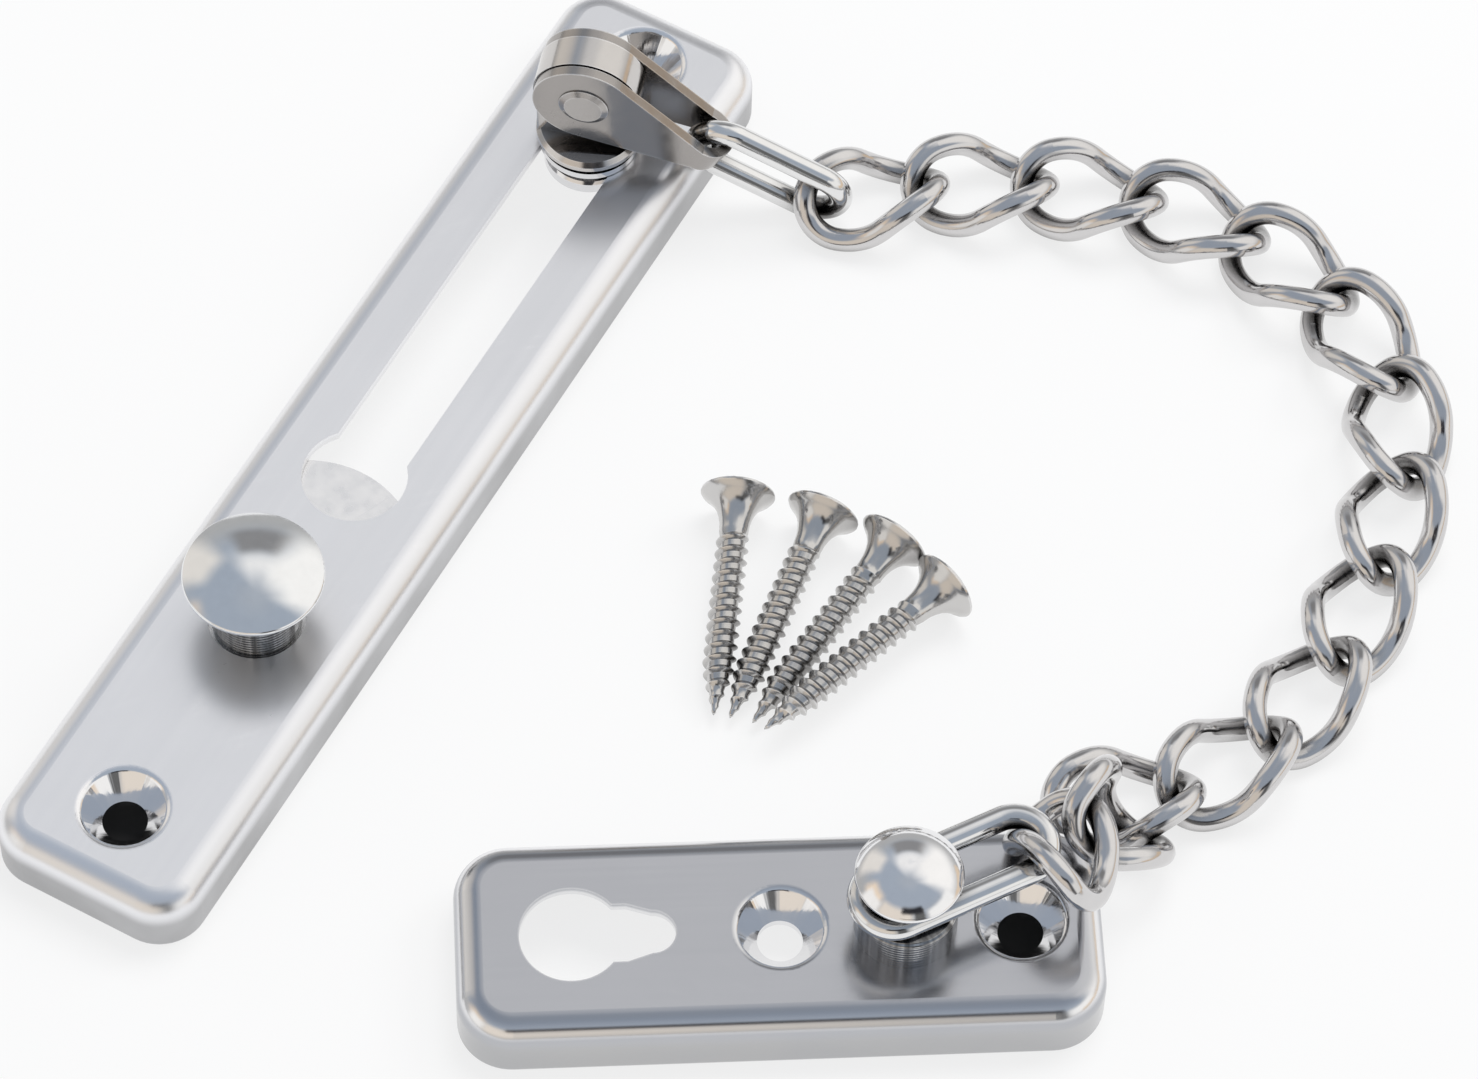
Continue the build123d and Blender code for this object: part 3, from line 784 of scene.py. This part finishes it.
def screw_rows(column):
    """The outline down one column of points: trumpet, then thread."""
    rows = list(TRUMPET)
    turns = int((THREAD_END - THREAD_TOP) / PITCH) + 3
    for turn in range(turns):
        for share, height in THREAD_ROWS:
            along = THREAD_TOP + PITCH * (turn - 1 + share + column / COLUMNS)
            along = min(max(along, THREAD_TOP), THREAD_END)
            rows.append((along, thread_radius(along, height)))
    return rows


print("rows in a column", len(screw_rows(0)))

# %% [markdown]
# ## The thread as a helix
#
# A thread can be had with a screw modifier, or drawn as rings with a bump, but rings don't climb. Here
# every column of points along the screw starts a little lower than the one before it, so that after
# one turn the columns meet one pitch further down: the last column is sewn to the first with a shift
# of one thread. The crest is then a true helix. The head stays round, and there the rows meet level.

# %% Screw mesh
WELD_GAP = 0.004 * MM


def screw_columns(shape):
    """All the points of the screw, column by column round it."""
    columns = []
    for column in range(COLUMNS):
        angle = 2 * math.pi * column / COLUMNS
        y, z = math.cos(angle), math.sin(angle)
        columns.append([shape.verts.new((x * MM, r * MM * y, r * MM * z)) for x, r in screw_rows(column)])
    return columns


def sew_columns(shape, here, there, shift):
    """Faces between two columns; on the thread the second one is taken shift rows further on."""
    head_rows = len(TRUMPET)
    for row in range(len(here) - 1 - shift):
        upper = row + (shift if row >= head_rows else 0)
        lower = row + 1 + (shift if row >= head_rows - 1 else 0)
        shape.faces.new((here[row], here[row + 1], there[lower], there[upper]))


def screw_mesh():
    """The whole screw along +X from its head's face at the origin."""
    shape = bmesh.new()
    columns = screw_columns(shape)
    neighbours = list(zip(columns, columns[1:] + columns[:1]))
    for here, there in neighbours:
        sew_columns(shape, here, there, len(THREAD_ROWS) if there is columns[0] else 0)
    shape.faces.new([column[0] for column in columns])
    tip = shape.verts.new((SCREW_LENGTH * MM, 0, 0))
    for here, there in neighbours:
        shape.faces.new((here[-1], tip, there[-1]))
    bmesh.ops.remove_doubles(shape, verts=shape.verts, dist=WELD_GAP)
    bmesh.ops.recalc_face_normals(shape, faces=shape.faces)
    return shape


print("thread turns", round((THREAD_END - THREAD_TOP) / PITCH, 1))

# %% [markdown]
# ## The cross recess
#
# The driver's cross is two tapering blades at right angles that meet in a pit. It could be drawn on
# with a bump, but the real one is deep and its walls show. So a cutter of two blades, each with three
# four-sided levels, is taken out of the head with a Boolean. The same cut screw is then copied four
# times.

# %% Cross recess
# depth below the head's face, and half the length and width of a blade there, in millimetres
BLADE_LEVELS = [(-0.3, 2.35, 0.55), (1.0, 1.7, 0.42), (2.1, 0.5, 0.3)]
SHARP_FROM = 38


def add_blade(cutter, turn):
    """One tapering blade of the cutter, turned about the screw's axis."""
    cos, sin = math.cos(turn), math.sin(turn)
    points = []
    for x, half_long, half_wide in BLADE_LEVELS:
        for long_side, wide_side in ((-1, -1), (1, -1), (1, 1), (-1, 1)):
            y, z = long_side * half_long, wide_side * half_wide
            points.append(cutter.verts.new((x * MM, (y * cos - z * sin) * MM, (y * sin + z * cos) * MM)))
    for level in range(len(BLADE_LEVELS) - 1):
        for side in range(4):
            a, b = 4 * level + side, 4 * level + (side + 1) % 4
            cutter.faces.new((points[a], points[b], points[b + 4], points[a + 4]))
    cutter.faces.new(points[:4])
    cutter.faces.new(points[-4:])


def cut_recess(target):
    """The target's mesh with the cross taken out of its head."""
    cutter = bmesh.new()
    for turn in (0.0, math.pi / 2):
        add_blade(cutter, turn)
    bmesh.ops.recalc_face_normals(cutter, faces=cutter.faces)
    mesh = bpy.data.meshes.new("recess_cutter")
    cutter.to_mesh(mesh)
    cutter.free()
    tool = bpy.data.objects.new("recess_cutter", mesh)
    bpy.context.scene.collection.objects.link(tool)
    cut = target.modifiers.new("recess", "BOOLEAN")
    cut.operation = "DIFFERENCE"
    cut.solver = "EXACT"
    cut.use_self = True
    cut.object = tool
    cut_mesh = bpy.data.meshes.new_from_object(target.evaluated_get(bpy.context.evaluated_depsgraph_get()))
    target.modifiers.clear()
    bpy.data.objects.remove(tool)
    return cut_mesh


pattern = bpy.data.objects.new("screw_pattern", bpy.data.meshes.new("screw_pattern"))
bpy.context.scene.collection.objects.link(pattern)
shape = screw_mesh()
shape.to_mesh(pattern.data)
shape.free()
screw_data = cut_recess(pattern)
bpy.data.objects.remove(pattern)
screw_data.name = "wood_screw"
screw_data.polygons.foreach_set("use_smooth", [True] * len(screw_data.polygons))
screw_data.set_sharp_from_angle(angle=math.radians(SHARP_FROM))
print("screw faces", len(screw_data.polygons))

# %% [markdown]
# ## Laying the screws down
#
# Each screw rests on the rim of its head and the crest of its thread, so its axis drops a few degrees
# towards the point. The four fan out from a corner where their points nearly meet, and the last one
# lies across the one beside it, so it is almost level. A physics drop could find such a heap, but
# hardly this one. So each gets a place, a heading, a drop and a spin, and the mesh itself is moved.
# They lie with the track plate's body and take the place of its plain screws.

# %% Screws in place
# x and y of the head in millimetres, heading, drop and spin in degrees
SCREW_PLACES = [
    (37.5, 14.0, -66.6, 5.6, 20), (47.1, 16.7, -83.4, 5.6, 75), (55.9, 17.4, -96.4, 5.6, 130),
    (63.8, 14.9, -108.4, 0.5, 200)
]

for number, (x, y, heading, drop, spin) in enumerate(SCREW_PLACES, start=1):
    piece = bpy.data.objects.new("wood_screw_%d" % number, screw_data.copy())
    lie = Matrix.Translation(Vector((x, y, HEAD_RADIUS)) * MM)
    for angle, axis in ((heading, "Z"), (drop, "Y"), (spin, "X")):
        lie = lie @ Matrix.Rotation(math.radians(angle), 4, axis)
    piece.data.transform(lie)
    piece.data.materials.clear()
    piece.data.materials.append(FINISH["wood_screws"])
    bpy.context.scene.collection.objects.link(piece)
    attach(piece, "track")
    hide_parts("wood_screws")
print("screws laid", len(SCREW_PLACES))

# %% [markdown]
# ## Finish
#

# %% Finish
print("finish")
